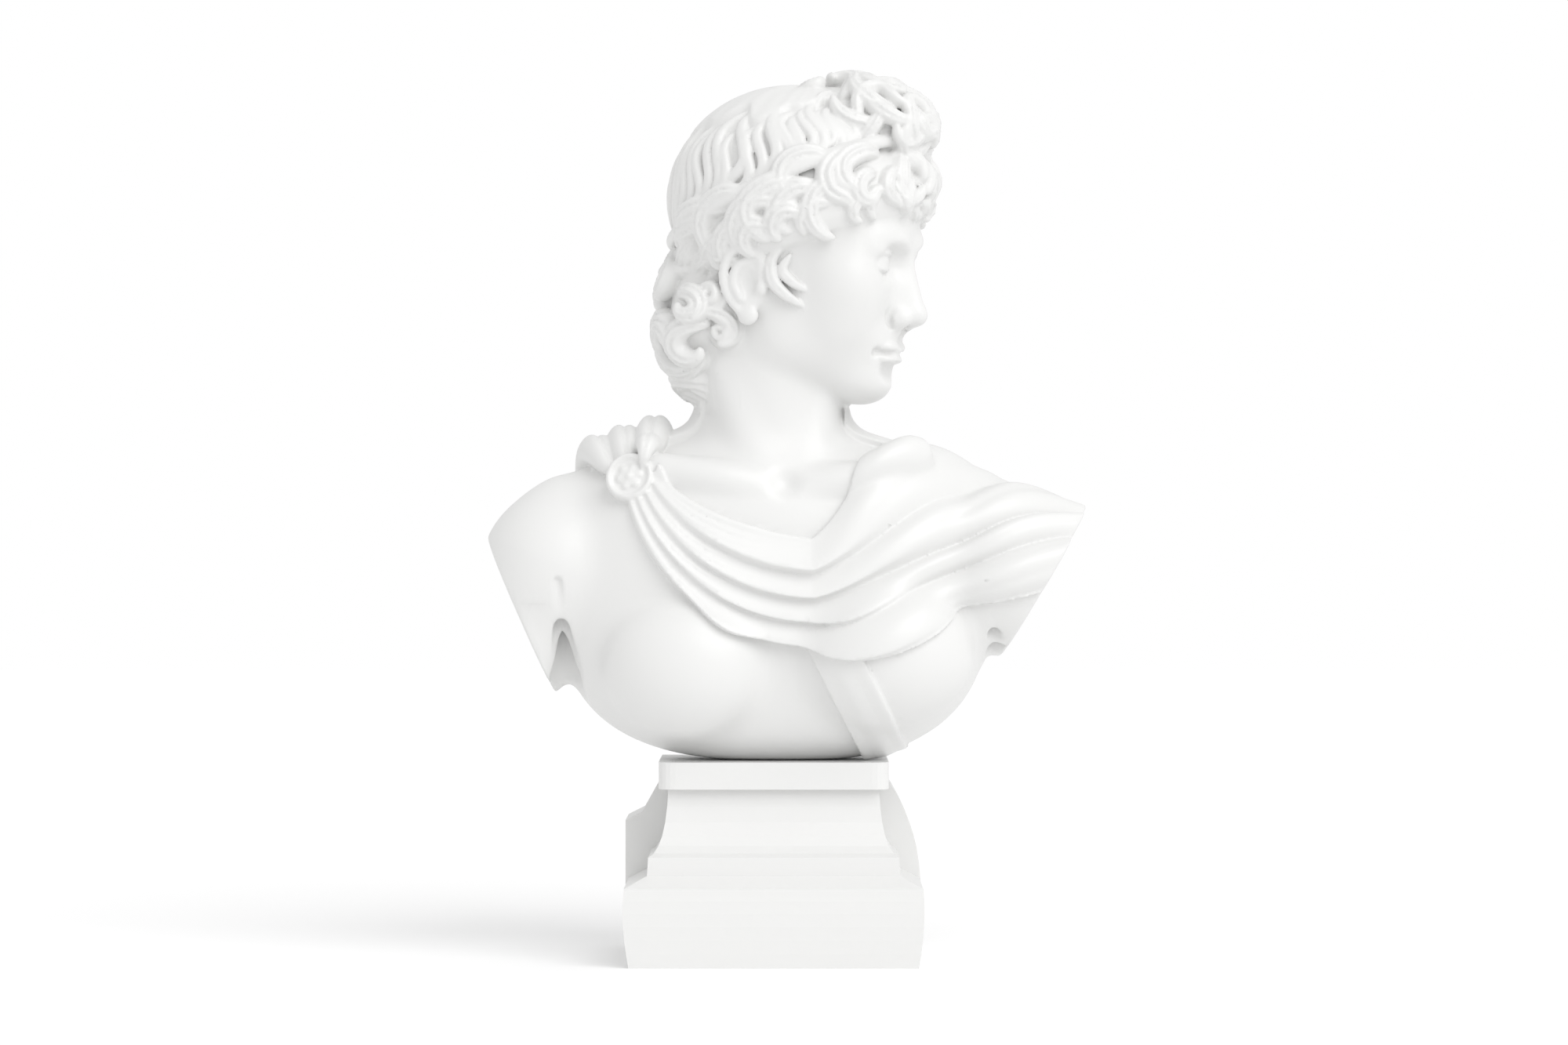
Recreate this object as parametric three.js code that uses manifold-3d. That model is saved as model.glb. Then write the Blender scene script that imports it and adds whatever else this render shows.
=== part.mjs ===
// A cast-resin bust of a young man in the classical manner: bare right shoulder, a mantle pinned by a
// round brooch, curled hair under a band, and a moulded plinth with a solid back.
// Millimetres, +Z up. The chest faces -Y, and the origin is at the middle of the plinth's underside.
import * as THREE from "three";
import { mergeVertices } from "three/addons/utils/BufferGeometryUtils.js";
import Module from "manifold-3d";

const wasm = await Module();
wasm.setup();

const degrees = Math.PI / 180;
const lerp = THREE.MathUtils.lerp;
const clamp = THREE.MathUtils.clamp;

// Plinth, as heights, half widths and half depths
const block = { height: 27.5, low: 50.2, waist: 53, edge: 51.8, depth: 42 };
const foot = { bottom: 31.5, top: 37.8, width: 43.6, depth: 34 };
const cavetto = { top: 62, width: 36.8, depth: 23 };
const slab = { top: 70.4, width: 40.3, depth: 27, corner: 6 };
const backing = { shoulder: 48, front: 9, width: 53 };
const castGap = 0.3;

// The bust has a frame of its own, in which it sits at this height; it is set down on the plinth.
const seat = 74.9;

// Torso: rays leave a level spine between the shoulders
const spineHeight = 140;
const spineHalfLength = 60;
const mantle = { thickness: 2.2, fold: 4.4, folds: 5 };
const brooch = { x: -50, z: 171, radius: 8.8, height: 3.4 };
const strap = { top: 126, bottom: 73, left: [6, 33], right: [22, 49], stand: 2.2 };

// Head: its own frame has x forward from the face, y to the figure's left, z up
const headCentre = new THREE.Vector3(11, 0, 248);
const headTurn = 70 * degrees;
const headNod = 8 * degrees;

// Scalp, and the two sloping planes where the band and the hairline cross it
const scalp = { centre: new THREE.Vector3(-6, 0, 22), length: 44, width: 37, height: 41 };
const bandPlane = { level: 30.7, rise: 0.59 };
const hairPlane = { level: 12.9, rise: 0.776 };
const strandCount = 25;
const strandSway = 4 * degrees;

// Rounded forms. Each has a distance, negative inside, and a blend: the width of the fillet where
// it joins what is already there.
function ball(at, size, blend = 6) {
  return {
    blend,
    distance(p) {
      const d = [p.x - at[0], p.y - at[1], p.z - at[2]];
      const near = Math.hypot(d[0] / size[0], d[1] / size[1], d[2] / size[2]);
      const slope = Math.hypot(d[0] / size[0] ** 2, d[1] / size[1] ** 2, d[2] / size[2] ** 2);
      return slope < 1e-9 ? -Math.min(...size) : (near * (near - 1)) / slope;
    },
  };
}

// A ball with squared shoulders, for the chest.
function trunk(at, size, squareness, blend) {
  return {
    blend,
    distance(p) {
      const d = [p.x - at[0], p.y - at[1], p.z - at[2]];
      const sum = d.reduce((total, v, i) => total + Math.pow(Math.abs(v) / size[i], squareness), 0);
      const near = Math.pow(sum, 1 / squareness);
      return near < 1e-6 ? -Math.min(...size) : Math.hypot(...d) * (1 - 1 / near);
    },
  };
}

function limb(from, to, startRadius, endRadius, blend = 6) {
  const along = [to[0] - from[0], to[1] - from[1], to[2] - from[2]];
  const length2 = along[0] ** 2 + along[1] ** 2 + along[2] ** 2;
  return {
    blend,
    distance(p) {
      const d = [p.x - from[0], p.y - from[1], p.z - from[2]];
      const t = clamp((d[0] * along[0] + d[1] * along[1] + d[2] * along[2]) / length2, 0, 1);
      const gap = Math.hypot(d[0] - t * along[0], d[1] - t * along[1], d[2] - t * along[2]);
      return gap - lerp(startRadius, endRadius, t);
    },
  };
}

// The same form on both sides of the chest or the head.
function pair(make) {
  return [make(-1), make(1)];
}

function softMin(a, b, k) {
  const h = Math.max(k - Math.abs(a - b), 0) / k;
  return Math.min(a, b) - (h * h * k) / 4;
}

// One skin over all the forms, with the hollows pressed in.
function skin(forms, hollows = []) {
  return (p) => {
    let d = 1e3;
    for (const form of forms) d = softMin(d, form.distance(p), form.blend);
    for (const form of hollows) d = -softMin(-d, form.distance(p), form.blend);
    return d;
  };
}

const chestForms = [
  trunk([0, 0, 130], [76, 37, 57], 2.6, 6),
  ...pair((side) => ball([side * 33, -17, 120], [33, 26, 28], 8)),
  ...pair((side) => ball([side * 34, 22, 140], [34, 18, 36], 14)),
  limb([-14, 8, 176], [-72, 5, 160], 14, 15, 16),
  limb([14, 8, 172], [72, 5, 157], 14, 14, 16),
  ball([-1, 6, 168], [36, 32, 26], 24),
  ball([-76, 3, 142], [26, 26, 26], 12),
  ball([80, 3, 138], [27, 28, 26], 12),
];
const sternum = [limb([0, -46, 158], [2, -50, 84], 4, 7, 14)];
const rightArmForms = [
  ball([-76, 3, 142], [25.6, 25.6, 25.6]),
  limb([-77, 3, 142], [-90, 0, 111], 24, 18, 10),
];
const leftArmForms = [
  ball([80, 3, 138], [26.6, 27.6, 25.6]),
  limb([80, 3, 140], [120, 2, 131], 25, 23, 10),
];
const neckForms = [
  limb([-1, 8, 158], [-1, 3, 224], 31, 26.5, 16),
  ball([-1, 7, 170], [44, 34, 16], 20),
  limb([-22, -10, 224], [3, -21, 172], 5, 4, 14),
  limb([19, -6, 222], [8, -21, 172], 5, 4, 14),
];
const torsoSkin = skin([...chestForms, ...rightArmForms, ...leftArmForms], sternum);

const headForms = [
  ball([-6, 0, 20], [41, 34, 37]),
  ball([9, 0, -3], [27.5, 25.5, 39], 10),
  ball([8, 0, 22], [28.5, 30, 24], 10),
  ...pair((side) => limb([34.5, side * 4, 12.5], [27.5, side * 18, 13], 2.4, 2.6, 6)),
  limb([34.4, 0, 12], [43.6, 0, -9], 2.7, 3.6, 5),
  ball([44, 0, -11.5], [4.4, 4, 3.6], 3),
  ...pair((side) => ball([40.6, side * 4.6, -12.6], [4, 2.8, 3], 2.5)),
  ...pair((side) => ball([20, side * 14, -3], [11, 10, 10], 12)),
  ball([29.5, 0, -23.5], [8.5, 10.5, 9], 7),
  ...pair((side) => ball([36.6, side * 2.4, -22.4], [2.8, 4.6, 2], 1.4)),
  ball([36, 0, -27.2], [2.8, 5.4, 2.2], 1.4),
  ball([28, 0, -35.5], [8, 8.5, 7], 7),
  ...pair((side) => limb([22, side * 6, -33], [0, side * 16, -25], 7.5, 9, 12)),
  ...pair((side) => limb([0, side * 16, -25], [-9, side * 23, 0], 9, 9, 14)),
];
const eyeSockets = pair((side) => ball([39, side * 12.5, 6.5], [7, 8.5, 5], 5));
const eyeballs = pair((side) => ball([28.6, side * 12.5, 5.8], [6.4, 6.8, 6.2], 1));
const faceSkin = skin(headForms, eyeSockets);
const eyeSkin = skin(eyeballs);
const headSkin = (p) => softMin(faceSkin(p), eyeSkin(p), 1.2);

// The outermost crossing of a skin along a ray, found in steps and then by halving.
function reach(origin, direction, field, far, missed = 8) {
  const step = 1.5;
  const p = new THREE.Vector3();
  const at = (t) => field(p.copy(direction).multiplyScalar(t).add(origin));
  let t = far;
  while (t > 0 && at(t) > 0) t -= step;
  if (t <= 0) return missed;
  let inside = t;
  let outside = t + step;
  for (let i = 0; i < 12; i++) {
    const middle = (inside + outside) / 2;
    if (at(middle) > 0) outside = middle;
    else inside = middle;
  }
  return inside;
}

function bare(geometry) {
  geometry.deleteAttribute("normal");
  geometry.deleteAttribute("uv");
  return mergeVertices(geometry);
}

// Moves each vertex of a geometry by a function of its place.
function reshape(geometry, place) {
  const position = geometry.getAttribute("position");
  const p = new THREE.Vector3();
  for (let i = 0; i < position.count; i++) {
    p.fromBufferAttribute(position, i);
    place(p);
    position.setXYZ(i, p.x, p.y, p.z);
  }
  return geometry;
}

// A unit sphere with its poles on Z.
function globe(around, up) {
  return bare(new THREE.SphereGeometry(1, around, up).rotateX(Math.PI / 2));
}

// A globe blown out to a skin along rays that leave a level spine. Crowding turns more of the
// rays towards +X, where the face is.
function carve(field, centre, halfSpine, around, up, far, crowd = 0) {
  const origin = new THREE.Vector3();
  const direction = new THREE.Vector3();
  return reshape(globe(around, up), (p) => {
    const level = Math.hypot(p.x, p.y);
    const angle = Math.atan2(p.y, p.x);
    const crowded = angle - crowd * Math.sin(angle);
    direction.set(level * Math.cos(crowded), level * Math.sin(crowded), p.z);
    origin.set(halfSpine * direction.x, 0, 0).add(centre);
    p.copy(direction).multiplyScalar(reach(origin, direction, field, far)).add(origin);
  });
}

// A closed geometry as a manifold solid, facing out.
function solid(geometry) {
  const make = (index) =>
    new wasm.Manifold(
      new wasm.Mesh({
        numProp: 3,
        vertProperties: new Float32Array(geometry.getAttribute("position").array),
        triVerts: new Uint32Array(index),
      }),
    );
  const made = make(geometry.index.array);
  if (made.volume() > 0) return made;
  return make([...geometry.index.array].reverse());
}

function join(solids) {
  return solids.reduce((all, next) => all.add(next));
}

function toGeometry(made) {
  const mesh = made.getMesh();
  return new THREE.BufferGeometry()
    .setAttribute("position", new THREE.BufferAttribute(mesh.vertProperties, 3))
    .setIndex(new THREE.BufferAttribute(mesh.triVerts, 1));
}

// Places rounded to hundredths, so that slivers close up, and the outer body kept without the
// pockets closed in between the joined forms.
function tidied(made) {
  const rounded = reshape(toGeometry(made), (p) => p.multiplyScalar(100).round().divideScalar(100));
  const bodies = solid(mergeVertices(rounded, 1e-3)).decompose();
  return bodies.reduce((largest, next) => (next.volume() > largest.volume() ? next : largest));
}

function prism(shape, depth, curveSegments = 6) {
  return bare(new THREE.ExtrudeGeometry(shape, { depth, bevelEnabled: false, curveSegments }));
}

// A big box beyond a point, on the side that the offcut leaves by.
function offcut(point, leaves, size = 200) {
  const geometry = bare(new THREE.BoxGeometry(size, size, size));
  const turn = new THREE.Quaternion().setFromUnitVectors(new THREE.Vector3(0, 0, 1), leaves.normalize());
  return solid(geometry.translate(0, 0, size / 2).applyQuaternion(turn).translate(...point));
}

// A place on the chest: along the spine, at an angle up from the front, standing off the skin.
function onChest(x, angle, stand) {
  const origin = new THREE.Vector3(x, 0, spineHeight);
  const direction = new THREE.Vector3(0, -Math.cos(angle), Math.sin(angle));
  return direction.multiplyScalar(reach(origin, direction, torsoSkin, 75) + stand).add(origin);
}

// The same place, found from the front by its height.
function angleAt(x, z) {
  let low = -85 * degrees;
  let high = 89 * degrees;
  for (let i = 0; i < 14; i++) {
    const middle = (low + high) / 2;
    if (onChest(x, middle, 0).z < z) low = middle;
    else high = middle;
  }
  return (low + high) / 2;
}

function frontPlace(x, z) {
  return [x, angleAt(x, z)];
}

// A slab on the chest with its inner face sunk in it, over the stretch that map(u, v) gives.
const sunk = 5;
function cloth(map, stand, acrossSteps, alongSteps) {
  const geometry = bare(new THREE.BoxGeometry(1, 1, 1, acrossSteps, alongSteps, 1));
  return reshape(geometry, (p) => {
    const u = p.x + 0.5;
    const v = p.y + 0.5;
    const [x, angle] = map(u, v);
    p.copy(onChest(x, angle, p.z > 0 ? stand(u, v) : -sunk));
  });
}

// A sphere drawn out along a curve, pointed at both ends: a lock of hair or a gather of cloth.
function lock(points, width, height, out, sides = 6, steps = 8, fullness = 0.35) {
  const curve = new THREE.CatmullRomCurve3(points);
  return reshape(bare(new THREE.SphereGeometry(1, sides, steps)), (p) => {
    const { x, y, z } = p;
    const along = Math.acos(clamp(y, -1, 1)) / Math.PI;
    const round = Math.sqrt(Math.max(0, 1 - y * y));
    const full = round < 1e-4 ? 0 : Math.pow(round, fullness - 1);
    curve.getPoint(along, p);
    const tangent = curve.getTangent(along);
    const up = out(p).projectOnPlane(tangent).normalize();
    const aside = new THREE.Vector3().crossVectors(tangent, up);
    p.addScaledVector(aside, x * width * full).addScaledVector(up, z * height * full);
  });
}

function between(a, b, t) {
  return [lerp(a[0], b[0], t), lerp(a[1], b[1], t)];
}

function bent(from, pull, to, t) {
  return between(between(from, pull, t), between(pull, to, t), t);
}

// The mantle's front: every fold runs from the brooch down to the middle and up over the shoulder.
const foldPulls = {
  pin: [frontPlace(-40, 178), frontPlace(-51, 164)],
  left: [frontPlace(-26, 157), frontPlace(-38, 110)],
  middle: [frontPlace(13, 151), frontPlace(14, 113.5)],
  right: [frontPlace(26, 160), frontPlace(54, 110)],
};
function mantleFront(u, v) {
  const middle = between(...foldPulls.middle, v);
  if (u < 0.5) {
    return bent(between(...foldPulls.pin, v), between(...foldPulls.left, v), middle, u * 2);
  }
  const outwards = Math.min(1, 1.7 * v);
  const round = Math.max(0, v - 0.45) / 0.55;
  const shoulder = [lerp(42, 118, outwards), (98 - 100 * round ** 1.5) * degrees];
  return bent(middle, between(...foldPulls.right, v), shoulder, u * 2 - 1);
}

function ridge(t) {
  return Math.pow(Math.abs(Math.cos(Math.PI * t)), 0.8);
}

function frontStand(u, v) {
  const spread = lerp(0.3, 1.1, Math.min(1, u * 1.6));
  return mantle.thickness + mantle.fold * spread * ridge(v * mantle.folds);
}

// The mantle's back hangs from shoulder to shoulder in sagging folds.
function mantleBack(u, v) {
  const sag = 26 * Math.sin(Math.PI * u) * Math.sin(Math.PI * v);
  return [lerp(-64, 118, u), (lerp(84, 238, v) + sag) * degrees];
}

function backStand(u, v) {
  return mantle.thickness + 0.8 * mantle.fold * ridge(v * 4) * Math.min(1, 5 * v + 0.3);
}

function strapPlace(u, v) {
  const x = lerp(lerp(...strap.left, v), lerp(...strap.right, v), u);
  return frontPlace(x, lerp(strap.top, strap.bottom, v));
}

function awayFromSpine(p) {
  return new THREE.Vector3(0, p.y, p.z - spineHeight).normalize();
}

// Cloth bunched above the brooch, over the shoulder to the back.
function makeGathers() {
  return [-68, -55, -41].map((x, i) => {
    const start = [brooch.x + (i - 1) * 4, brooch.z + 3];
    const low = angleAt(...start);
    const path = [0, 0.35, 0.7, 1].map((t) =>
      onChest(lerp(start[0], x, Math.sqrt(t)), lerp(low, 140 * degrees, t), 3 + 2 * Math.sin(Math.PI * t)));
    return solid(lock(path, 6.5, 6, awayFromSpine, 6, 7));
  });
}

function makeBrooch() {
  const { x, z, radius, height } = brooch;
  const profile = [[0, -4], [radius, -4], [radius, height * 0.6], [radius - 1.4, height],
    [radius - 2.4, height * 0.6], [radius - 3.4, height * 0.6], [2, height], [0, height]];
  const geometry = bare(new THREE.LatheGeometry(profile.map((at) => new THREE.Vector2(...at)), 14));
  const facing = new THREE.Vector3(-0.25, -1, 0.35).normalize();
  geometry.applyQuaternion(new THREE.Quaternion().setFromUnitVectors(new THREE.Vector3(0, 1, 0), facing));
  return solid(geometry.translate(...onChest(x, angleAt(x, z), 3.5)));
}

// The chest is trimmed below to a rounded outline, seen from the front.
function lowerOutline() {
  const half = { x: 78, z: 56 };
  const squareness = 2 / 2.6;
  const outline = new THREE.Shape();
  outline.moveTo(-120, 200);
  outline.lineTo(-120, 130);
  for (let i = 0; i <= 20; i++) {
    const angle = (Math.PI * i) / 20;
    const across = Math.sign(Math.cos(angle)) * Math.abs(Math.cos(angle)) ** squareness;
    outline.lineTo(-half.x * across, 130 - half.z * Math.sin(angle) ** squareness);
  }
  outline.lineTo(120, 130);
  outline.lineTo(120, 200);
  return solid(prism(outline, 200).rotateX(Math.PI / 2).translate(0, 100, 0));
}

// A deep crease where an arm meets the chest.
function armpit(points, width, depth) {
  const path = points.map((at) => new THREE.Vector3(...at));
  return solid(lock(path, width, depth, () => new THREE.Vector3(0, -1, 0), 8, 6));
}

function makeTorso() {
  const spine = new THREE.Vector3(0, 0, spineHeight);
  const chest = solid(carve(skin(chestForms, sternum), spine, spineHalfLength, 36, 18, 100)).intersect(lowerOutline());
  return join([
    chest,
    solid(carve(skin(rightArmForms), new THREE.Vector3(-79, 2, 136), 0, 16, 12, 60)),
    solid(carve(skin(leftArmForms), new THREE.Vector3(94, 2, 134), 0, 16, 12, 70)),
    solid(carve(skin(neckForms), new THREE.Vector3(-1, 4, 195), 0, 20, 12, 80)),
  ])
    .subtract(armpit([[-68, -34, 136], [-71, -30, 118], [-74, -22, 94]], 3.5, 13))
    .subtract(armpit([[76, -34, 128], [78, -30, 116], [78, -22, 100]], 3, 11));
}

const headToWorld = new THREE.Matrix4()
  .makeTranslation(headCentre)
  .multiply(new THREE.Matrix4().makeRotationZ(headTurn - Math.PI / 2))
  .multiply(new THREE.Matrix4().makeRotationY(headNod));

// A place on the scalp by azimuth from the face and latitude, standing off it.
function onScalp(azimuth, latitude, stand = 0) {
  const { centre, length, width, height } = scalp;
  const level = Math.cos(latitude);
  const p = new THREE.Vector3(length * level * Math.cos(azimuth), width * level * Math.sin(azimuth),
    height * Math.sin(latitude));
  const normal = new THREE.Vector3(p.x / length ** 2, p.y / width ** 2, p.z / height ** 2).normalize();
  return p.addScaledVector(normal, stand).add(centre);
}

function awayFromScalp(p) {
  return p.clone().sub(scalp.centre).normalize();
}

// The latitude where a sloping plane crosses the scalp.
function crossing({ level, rise }, azimuth) {
  const swing = scalp.length * rise * Math.cos(azimuth);
  const lift = level + rise * scalp.centre.x - scalp.centre.z;
  return Math.asin(lift / Math.hypot(scalp.height, swing)) + Math.atan2(swing, scalp.height);
}

// Drop -1 is at the crown, 0 at the band and 1 at the hairline.
function droppedTo(azimuth, drop) {
  const band = crossing(bandPlane, azimuth);
  if (drop < 0) return lerp(band, Math.PI / 2, -drop);
  return lerp(band, crossing(hairPlane, azimuth), drop);
}

// The cap of hair is laid in rings: each has a drop, a stand off the scalp and the height of the
// strands there. Drop -1 is the crown, 0 the band and 1 the hairline, and the last rings are sunk.
const capRings = [
  [-1, 1.6, 0], [-0.85, 1.4, 0.5], [-0.65, 1.4, 1], [-0.45, 1.2, 1], [-0.25, 0.8, 1], [-0.08, 0.4, 0.6],
  [-0.08, 2.8, 0], [0.1, 2.8, 0], [0.1, 1.2, 0.6], [0.35, 3, 1.6], [0.65, 3.4, 1.8], [0.95, 3, 1.5],
  [1.2, -2, 1.5], [1.8, -12, 0],
];
function makeCap() {
  return reshape(globe(strandCount * 2, capRings.length - 1), (p) => {
    const ring = Math.round(((capRings.length - 1) * Math.acos(clamp(p.z, -1, 1))) / Math.PI);
    const [drop, stand, strand] = capRings[ring];
    const place = Math.atan2(p.y, p.x);
    const azimuth = place + strandSway * Math.sin(9 * drop) * Math.sign(place || 1);
    const wave = strand * Math.cos(place * strandCount);
    const tip = drop > 1 ? 0.12 * Math.cos(place * strandCount) : 0;
    p.copy(onScalp(azimuth, droppedTo(azimuth, drop + tip), stand + wave));
  });
}

// A lock that waves down over the scalp.
function waveLock(side, from, to, sway, size) {
  const path = [];
  for (let i = 0; i <= 4; i++) {
    const t = i / 4;
    const azimuth = side * (lerp(from[0], to[0], t) + sway * Math.sin(2 * Math.PI * t)) * degrees;
    path.push(onScalp(azimuth, droppedTo(azimuth, lerp(from[1], to[1], t)), 2 + 1.5 * Math.sin(Math.PI * t)));
  }
  return lock(path, size, size * 0.85, awayFromScalp, 5, 8);
}

// A flat curl: a lock wound in a spiral that rises to its middle.
function curl(centre, out, radius, spin, start) {
  const turns = 1.1;
  const across = new THREE.Vector3(0.3, 1, 0.2).projectOnPlane(out).normalize();
  const up = new THREE.Vector3().crossVectors(out, across);
  const path = [];
  for (let i = 0; i <= 7; i++) {
    const t = i / 7;
    const angle = start + spin * turns * 2 * Math.PI * t;
    const r = radius * lerp(0.7, 0.15, t);
    const at = centre.clone().addScaledVector(out, radius * 0.3 * t);
    path.push(at.addScaledVector(across, r * Math.cos(angle)).addScaledVector(up, r * Math.sin(angle)));
  }
  return lock(path, radius * 0.36, radius * 0.5, () => out.clone(), 5, 9, 0.5);
}

// Curls spread evenly over one side of a rounded mass, as seeds lie on a flower head.
function curlsOver(mass, size, count, radius, facing, spread) {
  const made = [];
  const turn = new THREE.Quaternion().setFromUnitVectors(new THREE.Vector3(0, 0, 1), facing.normalize());
  for (let i = 0; i < count; i++) {
    const height = 1 - spread * ((i + 0.5) / count);
    const angle = i * 137.5 * degrees;
    const level = Math.sqrt(1 - height * height);
    const out = new THREE.Vector3(level * Math.cos(angle), level * Math.sin(angle), height).applyQuaternion(turn);
    const at = out.clone().multiply(size).add(mass);
    made.push(curl(at, out, radius * (0.9 + 0.2 * ((i * 7) % 5) / 4), i % 2 ? 1 : -1, i));
  }
  return made;
}

function mound(mass, size) {
  return reshape(globe(10, 6), (p) => p.multiply(size).add(mass));
}

function makeHair() {
  const knot = { at: new THREE.Vector3(21, 0, 55), size: new THREE.Vector3(15, 20, 13) };
  const nape = { at: new THREE.Vector3(-28, 0, -24), size: new THREE.Vector3(16, 30, 23) };
  const sides = pair((side) => [
    waveLock(side, [5, 0.6], [24, 1.5], 6, 4.6),
    waveLock(side, [30, 0.2], [52, 1.6], 8, 5.2),
    waveLock(side, [58, 0.2], [76, 1.55], 8, 5.2),
  ]).flat();
  return [
    makeCap(),
    ...sides,
    mound(knot.at, knot.size),
    ...curlsOver(knot.at, knot.size, 7, 8.6, new THREE.Vector3(0.6, 0, 0.8), 1.1),
    mound(nape.at, nape.size),
    ...curlsOver(nape.at, nape.size, 10, 10.5, new THREE.Vector3(-1, 0, -0.15), 1.15),
  ];
}

function makeEar(side) {
  const path = [[0, 31, -1], [-3, 34, 6], [-10, 36, 6], [-13, 36, -3], [-9, 34, -12], [-3, 31, -17]]
    .map(([x, y, z]) => new THREE.Vector3(x, side * y, z));
  return lock(path, 2.8, 2.4, () => new THREE.Vector3(0, side, 0), 6, 8);
}

function makeHead() {
  const face = carve(headSkin, new THREE.Vector3(4, 0, 0), 0, 36, 28, 80, 0.6);
  const pieces = [face, makeEar(-1), makeEar(1), ...makeHair()];
  return pieces.map((geometry) => solid(geometry.applyMatrix4(headToWorld)));
}

function makeBust() {
  const whole = join([
    makeTorso(),
    solid(cloth(mantleFront, frontStand, 16, 20)),
    solid(cloth(mantleBack, backStand, 12, 16)).intersect(lowerOutline()),
    solid(cloth(strapPlace, () => strap.stand, 2, 8)),
    ...makeGathers(),
    makeBrooch(),
    ...makeHead(),
  ]);
  return [
    offcut([0, 0, seat], new THREE.Vector3(0, 0, -1)),
    offcut([-88, 0, 122], new THREE.Vector3(-0.915, 0, -0.404)),
    offcut([96, 0, 138], new THREE.Vector3(0.866, 0, -0.5)),
  ].reduce((left, piece) => left.subtract(piece), whole);
}

// The outline of the mouldings, seen square on: block, weathered step, foot and hollow.
function mouldingOutline(low, waist, edge, footWidth, neckWidth) {
  const outline = new THREE.Shape();
  outline.moveTo(-low, 0).lineTo(low, 0);
  outline.quadraticCurveTo(waist, block.height * 0.55, edge, block.height);
  outline.lineTo(footWidth + 0.4, foot.bottom).lineTo(footWidth, foot.top);
  outline.quadraticCurveTo(neckWidth + 0.8, foot.top + 2, neckWidth, cavetto.top);
  outline.lineTo(-neckWidth, cavetto.top);
  outline.quadraticCurveTo(-neckWidth - 0.8, foot.top + 2, -footWidth, foot.top);
  outline.lineTo(-footWidth - 0.4, foot.bottom).lineTo(-edge, block.height);
  outline.quadraticCurveTo(-waist, block.height * 0.55, -low, 0);
  return outline;
}

function makePlinth() {
  const long = 140;
  const squash = block.depth / block.edge;
  const widths = [block.low, block.waist, block.edge];
  const across = mouldingOutline(...widths, foot.width, cavetto.width);
  const along = mouldingOutline(...widths.map((width) => width * squash), foot.depth, cavetto.depth);
  const front = prism(across, long).translate(0, 0, -long / 2).rotateX(Math.PI / 2);
  const side = prism(along, long).translate(0, 0, -long / 2).rotateX(Math.PI / 2).rotateZ(Math.PI / 2);

  const { width, depth, corner } = slab;
  const plan = new THREE.Shape();
  plan.moveTo(-width + corner, -depth).lineTo(width - corner, -depth);
  plan.quadraticCurveTo(width, -depth, width, -depth + corner).lineTo(width, depth);
  plan.lineTo(-width, depth).lineTo(-width, -depth + corner);
  plan.quadraticCurveTo(-width, -depth, -width + corner, -depth);
  const top = prism(plan, slab.top - cavetto.top + 1).translate(0, 0, cavetto.top - 1);

  const edge = backing.width;
  const back = new THREE.Shape();
  back.moveTo(-edge + 2, 0).lineTo(edge - 2, 0).quadraticCurveTo(edge + 1, 22, edge - 2, 38);
  back.quadraticCurveTo(edge - 5, 52, slab.width, cavetto.top + 1).lineTo(-slab.width, cavetto.top + 1);
  back.lineTo(-edge + 6, backing.shoulder + 3).lineTo(-edge, backing.shoulder).lineTo(-edge, 20);
  const buttress = prism(back, block.depth - backing.front).rotateX(Math.PI / 2)
    .translate(0, block.depth, 0);
  return solid(front).intersect(solid(side)).add(solid(top)).add(solid(buttress));
}

const group = new THREE.Group();
const resin = new THREE.MeshStandardMaterial({ color: 0xf2f2f0, roughness: 0.4, metalness: 0 });

function addMesh(name, made, height = 0) {
  const mesh = new THREE.Mesh(toGeometry(made), resin.clone());
  mesh.name = name;
  mesh.position.z = height;
  group.add(mesh);
}

addMesh("bust", tidied(makeBust()), slab.top + castGap - seat);
addMesh("plinth", makePlinth());

export default group;
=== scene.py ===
# A white resin bust of a youth in the classical manner, on its moulded plinth.
# The bust is sculpted in millimetres in a frame of its own, then set down where the CAD bust is.
import math
import time

import bpy
import numpy as np
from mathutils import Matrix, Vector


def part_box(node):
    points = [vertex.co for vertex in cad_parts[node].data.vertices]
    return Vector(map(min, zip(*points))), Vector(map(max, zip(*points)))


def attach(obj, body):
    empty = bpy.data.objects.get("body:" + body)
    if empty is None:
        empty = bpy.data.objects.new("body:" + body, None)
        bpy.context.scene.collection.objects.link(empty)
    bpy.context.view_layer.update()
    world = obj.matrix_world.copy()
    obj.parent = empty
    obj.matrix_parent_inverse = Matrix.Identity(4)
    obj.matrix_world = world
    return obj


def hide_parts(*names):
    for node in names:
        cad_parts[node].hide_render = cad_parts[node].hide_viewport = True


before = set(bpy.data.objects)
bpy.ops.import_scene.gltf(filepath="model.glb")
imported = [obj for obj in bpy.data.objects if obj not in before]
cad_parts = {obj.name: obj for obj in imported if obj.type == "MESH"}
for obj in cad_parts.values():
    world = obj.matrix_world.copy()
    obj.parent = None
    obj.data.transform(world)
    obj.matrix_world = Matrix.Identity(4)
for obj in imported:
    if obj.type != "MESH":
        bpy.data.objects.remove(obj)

import openvdb
from mathutils import Matrix, Quaternion, Vector

began = time.time()
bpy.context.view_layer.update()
bustLow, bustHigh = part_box("bust")
plinthLow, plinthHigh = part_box("plinth")
seat = 74.9  # the bust's flat underside in its own frame
setDown = bustLow[2] * 1000 - seat


# Clay: a block of distances on a grid, negative inside, to which forms are added and pressed in

sculpt = {"step": 0.6, "low": (-106, -54, 70), "high": (116, 52, 322), "empty": 9.0}


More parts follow.
